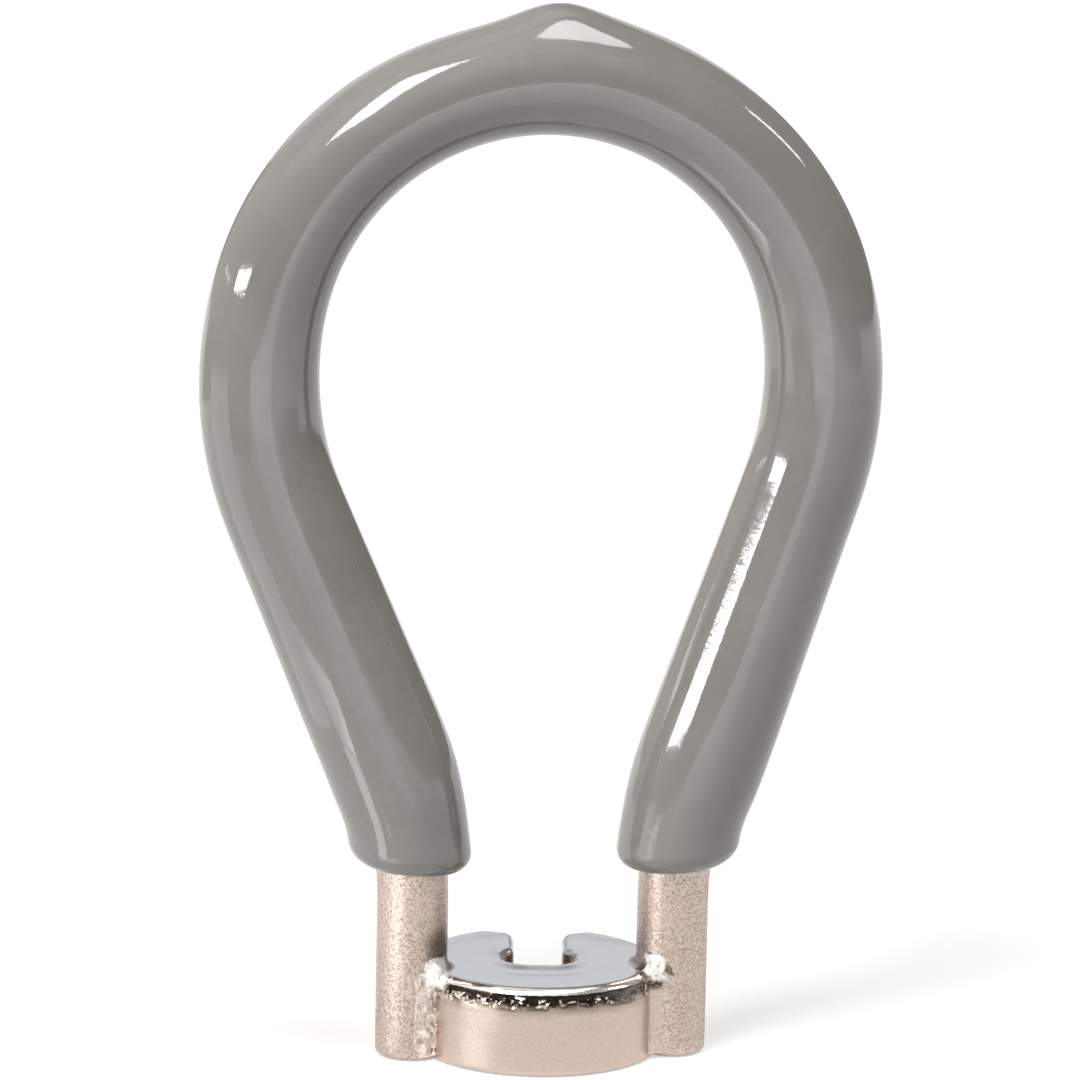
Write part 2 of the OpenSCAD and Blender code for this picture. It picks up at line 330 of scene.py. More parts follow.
def onto_surface(field, points, limit):
    """Points moved to where the field is zero, each by no more than limit."""
    g = slope(field, points)
    move = field(*points.T)[:, None] * g / np.maximum((g ** 2).sum(1), 0.2)[:, None]
    size = np.linalg.norm(move, axis=1)[:, None]
    return points - move * np.minimum(1, limit / np.maximum(size, 1e-9))


def groove_place(side):
    """Where, seen from above, the groove between a leg and the head's rim opens to the front."""
    toward = (side * LEG_X / LEG_REACH, -LEG_FORWARD / LEG_REACH)
    across = (HEAD_R ** 2 + LEG_REACH ** 2 - WIRE_R ** 2) / (2 * LEG_REACH)
    half = math.sqrt(HEAD_R ** 2 - across ** 2)
    return toward[0] * across + half * side * toward[1], toward[1] * across - half * side * toward[0]


# Materials
class Graph:
    """Short calls for a material's nodes. Positions in it are the part's own, in millimetres."""

    def __init__(self, name):
        self.material = bpy.data.materials.new(name)
        self.material.use_nodes = True
        self.tree = self.material.node_tree
        self.tree.nodes.clear()
        output = self.node("ShaderNodeOutputMaterial")
        self.shader = self.node("ShaderNodeBsdfPrincipled")
        self.link(self.shader.outputs["BSDF"], output.inputs["Surface"])
        where = self.node("ShaderNodeTexCoord").outputs["Object"]
        scale = self.node("ShaderNodeVectorMath")
        scale.operation = "SCALE"
        scale.inputs["Scale"].default_value = 1 / MM
        self.link(where, scale.inputs[0])
        self.place = scale.outputs[0]

    def node(self, kind):
        return self.tree.nodes.new(kind)

    def link(self, a, b):
        self.tree.links.new(a, b)

    def put(self, value, socket):
        """Sets a number or a colour on a socket, or joins another socket to it."""
        if isinstance(value, (int, float)):
            socket.default_value = value
        elif isinstance(value, tuple):
            socket.default_value = (*value, 1)
        else:
            self.link(value, socket)

    def noise(self, grain, detail, rough):
        """Noise whose lumps are about grain millimetres wide."""
        n = self.node("ShaderNodeTexNoise")
        self.link(self.place, n.inputs["Vector"])
        for key, value in (("Scale", 1 / grain), ("Detail", detail), ("Roughness", rough)):
            n.inputs[key].default_value = value
        return n.outputs["Fac"]

    def wander(self, depth, grain):
        """Slow noise round zero, which makes an edge uneven."""
        return self.times(self.math("SUBTRACT", self.noise(grain, 2, 0.5), 0.5), depth)

    def cells(self, grain):
        """Distance to the nearest of scattered points about grain millimetres apart."""
        v = self.node("ShaderNodeTexVoronoi")
        self.link(self.place, v.inputs["Vector"])
        v.inputs["Scale"].default_value = 1 / grain
        return v.outputs["Distance"]

    def span(self, value, a, b, low=0.0, high=1.0):
        """Goes smoothly from low to high while the value goes from a to b."""
        r = self.node("ShaderNodeMapRange")
        r.interpolation_type = "SMOOTHSTEP"
        self.link(value, r.inputs["Value"])
        for key, v in (("From Min", a), ("From Max", b), ("To Min", low), ("To Max", high)):
            r.inputs[key].default_value = v
        return r.outputs["Result"]

    def math(self, operation, a, b=0.0):
        m = self.node("ShaderNodeMath")
        m.operation = operation
        self.put(a, m.inputs[0])
        self.put(b, m.inputs[1])
        return m.outputs[0]

    def plus(self, a, b):
        return self.math("ADD", a, b)

    def times(self, first, *others):
        for other in others:
            first = self.math("MULTIPLY", first, other)
        return first

    def rest(self, value):
        """What a value leaves of 1."""
        return self.math("SUBTRACT", 1.0, value)

    def distance(self, first, *others):
        """Length of the vector that has these parts."""
        total = self.times(first, first)
        for other in others:
            total = self.plus(total, self.times(other, other))
        return self.math("SQRT", total)

    def mix(self, factor, a, b):
        m = self.node("ShaderNodeMix")
        m.data_type = "RGBA"
        self.put(factor, m.inputs["Factor"])
        self.put(a, m.inputs["A"])
        self.put(b, m.inputs["B"])
        return m.outputs["Result"]

    def parts(self, vector):
        """The three parts of a vector."""
        s = self.node("ShaderNodeSeparateXYZ")
        self.link(vector, s.inputs[0])
        return [s.outputs[which] for which in "XYZ"]

    def facing_up(self):
        """How far the surface faces upwards: 1 on a top face and 0 on a side."""
        return self.parts(self.node("ShaderNodeNewGeometry").outputs["Normal"])[2]

    def bump(self, height, depth_mm, before=None):
        b = self.node("ShaderNodeBump")
        b.inputs["Strength"].default_value = 1.0
        b.inputs["Distance"].default_value = depth_mm * MM
        self.link(height, b.inputs["Height"])
        if before:
            self.link(before, b.inputs["Normal"])
        return b.outputs["Normal"]

    def finish(self, **inputs):
        for key, value in inputs.items():
            self.put(value, self.shader.inputs[key.replace("_", " ")])
        return self.material


def grip_vinyl():
    """Glossy grey dip with faint clouds and a slight orange peel."""
    g = Graph("dipped_vinyl")
    clouds = g.noise(6.0, 2, 0.55)
    mottle = g.noise(0.9, 3, 0.6)
    fine = g.noise(0.16, 2, 0.6)
    color = g.mix(g.span(clouds, 0.3, 0.7), (0.246, 0.237, 0.218), (0.278, 0.268, 0.247))
    color = g.mix(g.span(mottle, 0.35, 0.7, 0, 0.35), color, (0.231, 0.224, 0.208))
    color = g.mix(g.span(fine, 0.45, 0.75, 0, 0.22), color, (0.315, 0.304, 0.282))
    peel = g.bump(g.noise(0.55, 2, 0.5), 0.0035)
    peel = g.bump(fine, 0.0012, peel)
    rough = g.span(mottle, 0.3, 0.7, 0.06, 0.10)
    return g.finish(Base_Color=color, Roughness=rough, IOR=1.5, Coat_Weight=0.35,
                    Coat_Roughness=0.03, Coat_IOR=1.5, Normal=peel, Coat_Normal=peel)


def wire_nickel():
    """Nickel over a sanded wire, darker in a spot on the left leg just above the braze."""
    g = Graph("nickel_wire_plate")
    sand = g.noise(0.13, 2, 0.6)
    coarse = g.noise(0.13 * 2.6, 1, 0.5)
    patches = g.noise(2.2, 2, 0.5)
    color = g.mix(g.span(sand, 0.3, 0.62), LEG_DARK, LEG_BRIGHT)
    color = g.mix(g.span(patches, 0.35, 0.75, 0, 0.35), color, tuple(0.93 * v for v in LEG_BRIGHT))
    # Darker in a spot on the left leg's front, just above the braze
    away = g.distance(*[g.math("SUBTRACT", part, at) for part, at in zip(g.parts(g.place), DARK_SPOT_AT)])
    away = g.plus(away, g.wander(0.8, 0.5))
    color = g.mix(g.span(away, 1.5, 0.4, 0, 0.72), color, (0.11, 0.085, 0.07))
    height = g.plus(sand, g.times(coarse, 0.8))
    return g.finish(Base_Color=color, Metallic=1.0, Roughness=g.span(sand, 0.3, 0.7, 0.42, 0.26),
                    Normal=g.bump(height, 0.034))


def head_nickel():
    """Polished top face tinted bluish as a painted reflection of the backdrop, a near-white rim painted
    as a highlight, the pitted band under it with painted shade and glints, and a warm satin side.
    """
    g = Graph("nickel_head_plate")
    x, y, z = g.parts(g.place)
    facing = g.facing_up()
    near_top = g.span(z, HEAD_T - 0.8, HEAD_T - 0.35)
    flat = g.times(g.span(facing, 0.93, 0.985), near_top)
    outer = g.times(g.span(g.distance(x, y), HEAD_R - 1.1, HEAD_R - 0.75), g.span(y, 1.0, -1.0))
    flat = g.math("MAXIMUM", flat, g.times(near_top, g.rest(outer)))
    rim = g.times(g.span(facing, 0.3, 0.5), near_top, g.rest(flat))
    fine = g.noise(0.11, 2, 0.6)
    clouds = g.noise(1.4, 3, 0.55)
    # The side keeps the warm nickel; the top face's bluish tint is a painted reflection of the white
    # backdrop
    warm = g.mix(g.span(fine, 0.3, 0.65), (0.535, 0.435, 0.375), (0.60, 0.49, 0.43))
    painted_backdrop_tint = g.mix(g.span(clouds, 0.3, 0.7), (0.51, 0.515, 0.555), (0.58, 0.585, 0.63))
    # The rolled rim is painted near-white, a painted highlight added to the lamps' own
    color = g.mix(rim, g.mix(flat, warm, painted_backdrop_tint), (0.96, 0.93, 0.90))
    # The band is painted dark right under the rim as the shade in its cast pits, thinning downwards and
    # towards the back
    line = g.plus(z, g.wander(0.55, 0.8))
    below_rim = g.span(facing, 0.32, 0.48, 1, 0)
    band = g.times(g.span(line, PITS_LOW + 0.15, PITS_LOW + 0.5), below_rim)
    pit_shade_fringe = g.times(g.span(line, PITS_LOW - 0.45, PITS_LOW + 0.4), below_rim)
    ahead = g.times(g.span(y, -3.0, -0.5, 1, 0.1), g.span(x, 2.0, 5.5, 1, 0.6))
    scale = g.times(band, ahead)
    # Worm-like bright grains in it, painted glints on the granules, closest together on the left
    worms = g.math("SUBTRACT", g.noise(0.3, 3, 0.55), g.span(x, -4.5, 1.5, 0.0, 0.055))
    grains = g.times(g.span(worms, 0.535, 0.585), g.span(line, PITS_TOP - 0.16, PITS_TOP - 0.34),
                     g.span(line, PITS_LOW + 0.3, PITS_LOW + 0.45))
    # Painted shade in the pits with a brownish fringe, then painted glints on the granules
    color = g.mix(g.times(pit_shade_fringe, ahead, 0.62), color, (0.17, 0.13, 0.10))
    color = g.mix(g.times(scale, 0.97), color, (0.020, 0.015, 0.012))
    color = g.mix(g.times(grains, scale), color, (0.92, 0.86, 0.78))
    rough = g.plus(g.span(flat, 0, 1, 0.24, 0.23), g.span(clouds, 0.3, 0.7, -0.03, 0.04))
    rough = g.math("SUBTRACT", rough, g.times(g.math("MAXIMUM", band, rim), 0.12))
    normal = g.bump(fine, 0.004)
    normal = g.bump(clouds, 0.010, normal)
    normal = g.bump(g.times(g.noise(0.14, 2, 0.6), band), 0.03, normal)
    return g.finish(Base_Color=color, Metallic=1.0, Roughness=rough, Normal=normal)


def braze_metal(side):
    """Grains in the front groove painted bright as a highlight, and painted shade on the collar round
    the leg.
    """
    on_left = side < 0
    g = Graph("braze_fillet_left" if on_left else "braze_fillet_right")
    x, y, z = g.parts(g.place)
    sand = g.noise(0.13, 3, 0.65)
    # A blob in front, at the top of the groove, painted near-white as a highlight, and on the left a
    # strip of braze grains below it, painted bright partly as a highlight
    away = g.distance(*[g.math("SUBTRACT", part, at) for part, at in zip((x, y), groove_place(side))])
    away = g.plus(away, g.wander(1.2, 0.5))
    if on_left:
        blob = g.times(g.span(away, 1.1, 0.6), g.span(z, HEAD_T - 0.95, HEAD_T - 0.5))
    else:
        blob = g.times(g.span(away, 0.8, 0.45), g.span(z, HEAD_T - 0.6, HEAD_T - 0.3))
    # The skin takes the leg's colour on its side of the groove and the head's on the other
    from_leg = g.distance(g.math("SUBTRACT", x, side * LEG_X), g.plus(y, LEG_FORWARD))
    on_head = g.span(from_leg, WIRE_R + 0.03, WIRE_R + 0.15)
    fine = g.span(sand, 0.32, 0.62)
    satin = g.mix(on_head, g.mix(fine, LEG_DARK, LEG_BRIGHT),
                  g.mix(fine, (0.52, 0.42, 0.36), (0.64, 0.53, 0.47)))
    # The pits band goes on here, painted dark as the shade in its pits
    scale = g.times(g.span(z, PITS_LOW + 0.2, PITS_LOW + 0.5),
                    g.span(z, PITS_TOP - 0.02, PITS_TOP + 0.06, 1, 0), on_head,
                    g.span(sand, 0.5, 0.62, 0.95, 0.2), g.span(y, -2.8, -1.2, 1, 0))
    satin = g.mix(scale, satin, (0.05, 0.04, 0.033))
    # The collar is painted dark next to the leg as the shade in the crease, and fades out to the top
    # face's bluish colour, a painted reflection
    ring = g.mix(g.span(from_leg, WIRE_R + 0.15, WIRE_R + 0.6), (0.27, 0.245, 0.23),
                 (0.54, 0.545, 0.585))
    # On the right the collar is darker in front of the groove
    if not on_left:
        ring = g.mix(g.span(y, -2.3, -2.8), ring, (0.13, 0.10, 0.08))
    # Behind the leg the collar's painted shade ends at the head's rim
    over_top = g.math("MAXIMUM", g.span(y, -0.5, -1.2),
                      g.span(g.distance(x, y), HEAD_R + 0.1, HEAD_R - 0.3))
    collar = g.mix(g.times(g.span(z, HEAD_T + 0.75, HEAD_T + 0.15), over_top), satin, ring)
    color = g.mix(g.span(z, HEAD_T - 0.35, HEAD_T - 0.1), satin, collar)
    # Strip of braze grains, its brightness partly a painted highlight, then the blob painted near-white
    # as a highlight
    strip = g.times(g.span(away, 1.3, 0.5), 1.0 if on_left else 0.1, g.rest(on_head))
    color = g.mix(strip, color, g.mix(g.span(sand, 0.34, 0.52), (0.66, 0.57, 0.51), (1.0, 0.94, 0.87)))
    color = g.mix(blob, color, g.mix(g.span(sand, 0.34, 0.46), (0.42, 0.37, 0.33), (1.0, 0.98, 0.95)))
    rugged = g.math("MAXIMUM", blob, strip)
    height = g.plus(g.times(sand, g.span(rugged, 0, 1, 0.35, 1.0)), g.times(g.cells(0.26), rugged, 0.6))
    rough = g.plus(g.span(sand, 0.3, 0.7, 0.36, 0.25), g.times(rugged, 0.2))
    return g.finish(Base_Color=color, Metallic=1.0, Roughness=rough, Normal=g.bump(height, 0.03))


# The coat
def ring(centre, out, radius, around):
    """Circle round the wire's middle line, from its point on the loop's outer side."""
    turn = np.linspace(0, 2 * math.pi, around, endpoint=False)
    return np.c_[centre[0] + radius * np.cos(turn) * out[0],
                 -LEG_FORWARD + radius * np.sin(turn),
                 centre[1] + radius * np.cos(turn) * out[1]]


def coat_lip(end_r):
    """(distance past the coat's end, radius) down a quarter turn, and in a small curl to the wire."""
    lip = [(LIP_R * math.sin(a), end_r - LIP_R * (1 - math.cos(a)))
           for a in np.linspace(0, math.pi / 2, 15)[1:]]
    curl = [(LIP_R - CREASE_R * (1 - math.sin(a)) - BOND_GAP,
             WIRE_R + BOND_GAP + CREASE_R * (1 + math.cos(a)))
            for a in np.linspace(math.pi / 2, math.pi, 7)[1:]]
    return lip + curl


def coat_piece(material):
    """The dipped coat: a hollow tube with a lip at each end, a nib and a faint unevenness."""
    at, line, tangent, outward = wire_path()
    bare = LEG_STRAIGHT + BARE_TURN * BEND_R
    ends = bare, at[-1] - bare
    s = np.r_[ends[0], at[(at >= ends[0]) & (at <= ends[1])][1:-1], ends[1]]

    def along(values):
        return np.c_[[np.interp(s, at, values[:, i]) for i in range(2)]].T

    middle, forward, out = along(line), along(tangent), along(outward)
    forward /= np.linalg.norm(forward, axis=1)[:, None]
    out /= np.linalg.norm(out, axis=1)[:, None]
    radius = np.interp(middle[:, 1], COAT_HEIGHTS, COAT_RADII)
    reach = int(COAT_EASE / PATH_STEP)
    radius = np.convolve(np.pad(radius, reach, mode="edge"),
                         np.ones(2 * reach + 1) / (2 * reach + 1), "valid")
    lip = coat_lip(radius[0])
    rings = [ring(middle[0] - forward[0] * t, out[0], r, COAT_AROUND) for t, r in reversed(lip)]
    rings += [ring(middle[i], out[i], radius[i], COAT_AROUND) for i in range(len(s))]
    rings += [ring(middle[-1] + forward[-1] * t, out[-1], r, COAT_AROUND) for t, r in lip]
    outer = len(rings)
    rings += [ring(middle[i], out[i], WIRE_R + BOND_GAP, COAT_AROUND)
              for i in range(len(s) - 1, -1, -BORE_SPARSE)]
    points = np.vstack(rings)
    # The dip ran down on the inner side, so the rings near the ends lean that way
    for first, step, end in ((0, 1, 0), (outer - 1, -1, -1)):
        up = forward[end] * step
        for i in range(first, first + step * (outer // 2), step):
            nearest = min(max(i - len(lip), 0), len(s) - 1)
            weight = 1 - smooth_step(abs(s[nearest] - s[end]), 0.3, 4.5)
            if weight <= 0:
                break
            part = slice(i * COAT_AROUND, (i + 1) * COAT_AROUND)
            offset = points[part] - points[part].mean(0)
            sideways = offset[:, 0] * out[end][0] + offset[:, 2] * out[end][1]
            shift = math.tan(END_LEAN) * sideways * weight
            points[part, 0] += up[0] * shift
            points[part, 2] += up[1] * shift
    skin = points[:outer * COAT_AROUND]
    rest = np.hypot((skin[:, 0] - NIB_X) / NIB_WIDE, (skin[:, 1] + LEG_FORWARD) / NIB_DEEP)
    skin[:, 2] += NIB_H * np.exp(-rest ** 2) * smooth_step(skin[:, 2], 54.0, 57.0)
    swell = np.exp(-((skin[:, 0] - SWELL_X) / SWELL_WIDE) ** 2)
    skin[:, 2] += SWELL_H * swell * smooth_step(skin[:, 2], 51.0, 56.5)
    away = skin - np.repeat(np.vstack([r.mean(0) for r in rings[:outer]]), COAT_AROUND, axis=0)
    away /= np.linalg.norm(away, axis=1)[:, None]
    skin += away * (SKIN_WAVE * value_noise(*skin.T, 5.0, 3))[:, None]
    faces = ring_faces(len(rings), COAT_AROUND, True)
    return make_piece("grip_coat", points, faces, material, ["vinyl_grip"])


# The wire
def wire_piece(material):
    """The bent wire, with rounded feet."""
    at, line, _, outward = wire_path()
    foot = [(0.0, 0.5 * WIRE_R)]
    for a in np.linspace(0, math.pi / 2, 9)[:-1]:
        foot.append((FOOT_R * (1 - math.cos(a)), WIRE_R - FOOT_R * (1 - math.sin(a))))
    body = at[(at > FOOT_R) & (at < at[-1] - FOOT_R)][::2]
    profile = foot + [(t, WIRE_R) for t in body] + [(at[-1] - t, r) for t, r in reversed(foot)]
    points = []
    for t, r in profile:
        centre, out = [[np.interp(t, at, values[:, i]) for i in range(2)] for values in (line, outward)]
        points.append(ring(centre, out, r, WIRE_AROUND))
    points.append([[line[end, 0], -LEG_FORWARD, line[end, 1]] for end in (0, -1)])
    faces = ring_faces(len(profile), WIRE_AROUND, False)
    hub, last = len(profile) * WIRE_AROUND, (len(profile) - 1) * WIRE_AROUND
    for j in range(WIRE_AROUND):
        k = (j + 1) % WIRE_AROUND
        faces.append((hub, k, j))
        faces.append((hub + 1, last + j, last + k))
    return make_piece("wire_plated", np.vstack(points), faces, material, ["handle_wire"])


# The head
def round_max(a, b, r):
    """Overlap of two solids with its edge rounded to r."""
    u, v = np.maximum(a + r, 0), np.maximum(b + r, 0)
    return np.minimum(-r, np.maximum(a, b)) + np.hypot(u, v)


def soft_min(a, b, k):
    """Union of two solids with a fillet about k wide between them."""
    h = np.maximum(k - np.abs(a - b), 0) / k
    return np.minimum(a, b) - h * h * k / 4


def leg_field(x, y, side):
    """Distance to a leg, taken as an endless bar."""
    return np.hypot(x - side * LEG_X, y + LEG_FORWARD) - WIRE_R


def rounded_box(x, y, left, right, low, high, corner):
    """Distance to a rectangle with rounded corners."""
    qx = np.abs(x - (left + right) / 2) - (right - left) / 2 + corner
    qy = np.abs(y - (low + high) / 2) - (high - low) / 2 + corner
    return (np.hypot(np.maximum(qx, 0), np.maximum(qy, 0))
            + np.minimum(np.maximum(qx, qy), 0) - corner)


def head_plan(x, y, z):
    """Distances, seen from above, to the rim and to the opening, and the head's plan itself."""
    c, s = math.cos(HEAD_TURN), math.sin(HEAD_TURN)
    px, py = c * x - s * y, s * x + c * y
    rim = np.hypot(x, y) - HEAD_R
    half = POCKET_W / 2
    square = rounded_box(px, py, -half, half, -half, half, POCKET_CORNER)
    mouth = rounded_box(px, py, -half, half, -MOUTH_FRONT, half, MOUTH_CORNER)
    square = square + (mouth - square) * smooth_step(z, HEAD_T - 1.8, HEAD_T - 0.7)
    slot = np.maximum(np.abs(px) - SLOT_W / 2, -py)
    opening = -round_max(-square, -slot, LEDGE_CORNER)
    return rim, opening, round_max(rim, -opening, HORN_CORNER)


def head_field(x, y, z):
    """The head with its worn top face, rolled edges, cast pits and a seat for each leg."""
    rim, opening, plan = head_plan(x, y, z)
    angle = np.arctan2(x, -y)
    # The side leans in a little towards the top face, below the polished rim
    above = np.maximum(z - TAPER_Z, 0)
    lean = TAPER * above ** 2 / (above + TAPER_EASE)
    ahead = smooth_step(-y, -3.5, 0.5)
    plan = plan + lean * smooth_step(rim + opening, -0.3, 0.6) * ahead
    # How far the top face lies below its full height
    lip = LIP_RISE + LIP_CORNERS * smooth_step(np.abs(x), 0.4, 1.8)
    lip = lip * (1 - smooth_step(opening, 0.1, 1.2))
    dip = DIP_DEPTH * np.exp(-((opening - DIP_AT) / DIP_WIDE) ** 2)
    dip = dip * (1 - smooth_step(np.abs(x), 1.2, 3.6))
    dip = dip - lip * (1 - smooth_step(y, -1.6, 2.6))
    dip = dip + HORN_FALL * smooth_step(rim, -3.0, 0.2) * smooth_step(y, 1.0, 4.5)
    dip = dip + TOP_WAVE * value_noise(x, y, z * 0, 2.0, 11)
    top = z - HEAD_T + dip * smooth_step(-rim, 0.2, 0.9)
    inner = smooth_step(-opening - rim, -0.7, 0.7)
    rim_roll = RIM_BACK + (RIM_TOP - RIM_BACK) * ahead
    mouth_roll = FRONT_ROLL + (MOUTH_ROLL - FRONT_ROLL) * smooth_step(y, -0.5, 3.5)
    solid = round_max(plan, top, rim_roll + (mouth_roll - rim_roll) * inner)
    solid = round_max(solid, -z, RIM_LOW)
    # Cast pits and granules in a band under the rim
    wave = 0.1 * np.sin(3 * angle + 1) + 0.06 * np.sin(7 * angle)
    band = (smooth_step(z, PITS_LOW + 0.1 + wave, PITS_LOW + 0.5 + wave)
            * (1 - smooth_step(z, PITS_TOP - 0.2, PITS_TOP)) * smooth_step(-np.abs(rim), -0.5, -0.3))
    front = smooth_step(np.cos(angle), -0.2, 0.35) * (0.5 + 0.5 * smooth_step(-angle, -0.9, 0.3))
    grit = value_noise(x, y, z, 0.42, 5) + 0.7 * value_noise(x, y, z, 0.22, 6)
    solid = solid + band * (0.05 + (0.03 + 0.09 * front) * grit)
    for side in (-1, 1):
        solid = np.maximum(solid, -(leg_field(x, y, side) - BOND_GAP))
    return solid


def head_piece(material):
    step = 0.09
    edge = 2 * step
    points, faces = surface_net(head_field, (-HEAD_R - edge, -HEAD_R - edge, -edge),
                                (HEAD_R + edge, HEAD_R + edge, HEAD_T + edge), step)
    return make_piece("head_plated", points, faces, material, ["nipple_head"])


# The braze
def braze_field(side):
    """The fillet between a leg and the head, with a lump where the front groove meets the top face."""
    on_left = side < 0
    front_x, front_y = groove_place(side)
    spill = 0.75 if on_left else -0.3
    lump_x, lump_z, lump_r = (0.08, 0.1, 0.40) if on_left else (-0.05, -0.1, 0.28)

    def field(x, y, z):
        leg = leg_field(x, y, side)
        rim = np.hypot(x, y) - HEAD_R
        plate = round_max(round_max(rim, z - HEAD_T, RIM_TOP), -z, RIM_LOW)
        rough = (value_noise(x, y, z, 0.5, 21 + side) + 0.7 * value_noise(x, y, z, 0.22, 31 + side))
        low = FILLET if on_left else 3 * FILLET * smooth_step(-y, 0, 2) + 0.2
        wide = low + (FILLET_TOP - low) * smooth_step(z, HEAD_T - 0.5, HEAD_T + 0.1)
        joined = soft_min(leg, plate, wide) + BOND_GAP
        fillet = np.maximum(wide - np.abs(leg - plate), 0) / wide
        # Grains that ran from the groove onto the leg
        groove = np.hypot(x - front_x, y - front_y)
        uneven = groove + 0.4 * value_noise(x, y, z, 0.6, 41)
        spread = 1 - smooth_step(uneven, 0.2 + spill, 0.75 + spill)
        spread = spread * smooth_step(HEAD_T - z, 0.1, 0.5)
        run = leg - 0.05 * spread * (1 + 1.3 * rough) + 0.03 * (1 - spread)
        joined = soft_min(joined, run, 0.1)
        lump = np.sqrt((x - front_x - lump_x) ** 2 + (y - front_y + 0.05) ** 2
                       + ((z - HEAD_T + lump_z) * 0.7) ** 2)
        joined = soft_min(joined, lump - lump_r, 0.4)
        ahead = 1 - smooth_step(groove, 0.7, 1.6)
        if not on_left:
            ahead = ahead * smooth_step(z, HEAD_T - 1, HEAD_T - 0.6)
        joined = joined - (0.05 * ahead + 0.006) * rough * np.minimum(1, 2 * fillet)
        # The piece ends a little way up the leg, out on the head and inside both of them
        near = np.maximum(np.maximum(leg, plate) - 1.2, z - HEAD_T - 0.95)
        near = np.maximum(near, np.maximum(-1.2 - leg, -1.2 - plate))
        near = np.maximum(near, 0.25 - z)
        return round_max(joined, near, 0.1)

    return field


def braze_piece(side, name, node, material):
    x, y, reach = side * LEG_X * 0.93, -LEG_FORWARD, 3.4
    points, faces = surface_net(braze_field(side), (x - reach, y - reach, 0),
                                (x + reach, y + reach, HEAD_T + 1.4), 0.08)
    return make_piece(name, points, faces, material, [node])


# Floor, lights and camera
def direction(azimuth, elevation):
    """Unit vector towards a place round the object. Azimuth 0 is the front, 90 the right."""
    a, e = math.radians(azimuth), math.radians(elevation)
    return Vector((math.sin(a) * math.cos(e), -math.cos(a) * math.cos(e), math.sin(e)))


def add_camera():
    data = bpy.data.cameras.new("view")
    data.lens, data.sensor_width = FOCAL_PIXELS * SENSOR / IMAGE_PIXELS, SENSOR
    data.clip_start, data.clip_end = 0.01, 20
    camera = bpy.data.objects.new("view", data)
    bpy.context.scene.collection.objects.link(camera)
    back = direction(CAMERA_AZIMUTH, CAMERA_ELEVATION)
    right = direction(CAMERA_AZIMUTH + 90, 0)
    up = back.cross(right)
    x = right * math.cos(CAMERA_ROLL) + up * math.sin(CAMERA_ROLL)
    y = up * math.cos(CAMERA_ROLL) - right * math.sin(CAMERA_ROLL)
    turn = Matrix((x, y, back)).transposed().to_4x4()
    camera.matrix_world = Matrix.Translation((TARGET + back * CAMERA_DISTANCE) * MM) @ turn
    bpy.context.scene.camera = camera


def add_lamp(name, azimuth, elevation, wide, tall, radiance, roll=0.0, rounded=False):
    """Softbox that spans wide by tall degrees, seen from the object."""
    data = bpy.data.lights.new(name, "AREA")
    data.shape = "ELLIPSE" if rounded else "RECTANGLE"
    data.size = 2 * LAMP_DISTANCE * math.tan(math.radians(wide / 2))
    data.size_y = 2 * LAMP_DISTANCE * math.tan(math.radians(tall / 2))
    data.energy = radiance * math.pi * data.size * data.size_y
    lamp = bpy.data.objects.new(name, data)
    bpy.context.scene.collection.objects.link(lamp)
    away = direction(azimuth, elevation)
    lamp.rotation_mode = "QUATERNION"
    lamp.location = TARGET * MM + away * LAMP_DISTANCE
    lamp.rotation_quaternion = (away.to_track_quat("Z", "Y")
                                @ Matrix.Rotation(math.radians(roll), 3, "Z").to_quaternion())
    lamp.visible_camera = False


def sees_background(tree):
    """1 for rays from the camera and for mirrored or refracted ones."""
    path = tree.nodes.new("ShaderNodeLightPath")
    total = path.outputs["Is Camera Ray"]
    for name in ("Is Glossy Ray", "Is Transmission Ray"):
        m = tree.nodes.new("ShaderNodeMath")
        m.operation = "MAXIMUM"
        tree.links.new(total, m.inputs[0])
        tree.links.new(path.outputs[name], m.inputs[1])
        total = m.outputs[0]
    return total


def add_world(fill):
    """White where it is seen, and the dim level fill as light."""
    world = bpy.data.worlds.new("studio")
    bpy.context.scene.world = world
    world.use_nodes = True
    tree = world.node_tree
    background = tree.nodes["Background"]
    background.inputs["Color"].default_value = (1, 1, 1, 1)
    strength = tree.nodes.new("ShaderNodeMapRange")
    tree.links.new(sees_background(tree), strength.inputs["Value"])
    strength.inputs["To Min"].default_value = fill
    strength.inputs["To Max"].default_value = 1.0
    tree.links.new(strength.outputs["Result"], background.inputs["Strength"])


def new_sheet(name, points, faces, look, color, specular, glow):
    """A mesh for the studio, with the nodes of its own material, which is named look."""
    mesh = bpy.data.meshes.new(name)
    mesh.from_pydata(points, [], faces)
    sheet = bpy.data.objects.new(name, mesh)
    bpy.context.scene.collection.objects.link(sheet)
    material = bpy.data.materials.new(look)
    material.use_nodes = True
    mesh.materials.append(material)
    tree = material.node_tree
    shader = tree.nodes["Principled BSDF"]
    shader.inputs["Base Color"].default_value = (*color, 1)
    shader.inputs["Specular IOR Level"].default_value = specular
    shader.inputs["Emission Color"].default_value = (*glow, 1)
    return sheet, tree, shader


